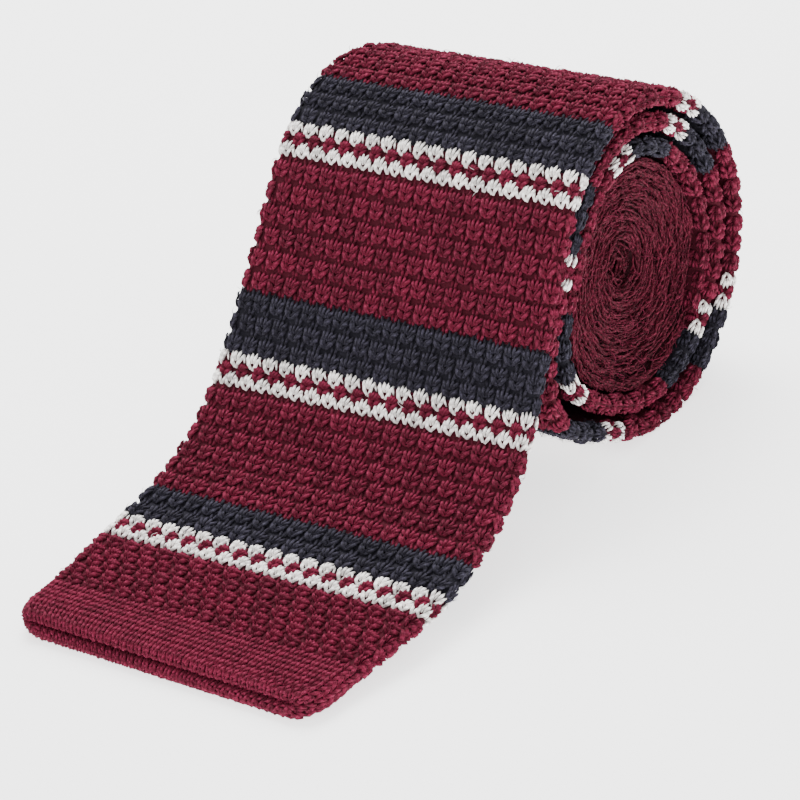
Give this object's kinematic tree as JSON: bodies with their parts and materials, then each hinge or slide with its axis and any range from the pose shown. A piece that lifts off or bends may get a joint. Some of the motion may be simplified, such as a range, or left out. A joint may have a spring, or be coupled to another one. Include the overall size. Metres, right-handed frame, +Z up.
{
  "type": "knit tie",
  "caption": "Striped knitted tie rolled up from its narrow end, with the square hem of its blade lying out in front.",
  "frame": {"origin": "on the surface the tie lies on, on the flat under the middle of the roll", "axes": "X across the tie and along the roll, -Y out to the hem at the front, +Z up"},
  "size_m": [0.0601, 0.1148, 0.0528],
  "materials": {
    "burgundy_wool": "matte knitted wool, bobbled on the blade and smooth on the neck band",
    "navy_wool": "matte knitted wool, bobbled and a little felted",
    "white_wool": "matte knitted wool, bobbled"
  },
  "bodies": {
    "root": {"hem_band": "burgundy_wool", "burgundy_band_1": "burgundy_wool", "navy_band_1": "navy_wool", "white_band_1": "white_wool", "burgundy_band_2": "burgundy_wool", "navy_band_2": "navy_wool", "white_band_2": "white_wool", "burgundy_band_3": "burgundy_wool", "navy_band_3": "navy_wool", "white_band_3": "white_wool", "burgundy_band_4": "burgundy_wool", "navy_band_4": "navy_wool", "white_band_4": "white_wool", "burgundy_band_5": "burgundy_wool", "navy_band_5": "navy_wool", "white_band_5": "white_wool", "burgundy_band_6": "burgundy_wool", "navy_band_6": "navy_wool", "white_band_6": "white_wool", "burgundy_band_7": "burgundy_wool", "navy_band_7": "navy_wool", "white_band_7": "white_wool", "burgundy_band_8": "burgundy_wool", "navy_band_8": "navy_wool", "white_band_8": "white_wool", "burgundy_band_9": "burgundy_wool", "navy_band_9": "navy_wool", "white_band_9": "white_wool", "burgundy_band_10": "burgundy_wool", "navy_band_10": "navy_wool", "white_band_10": "white_wool", "burgundy_band_11": "burgundy_wool", "navy_band_11": "navy_wool", "white_band_11": "white_wool", "burgundy_band_12": "burgundy_wool", "neck_band": "burgundy_wool"}
  },
  "joints": []
}
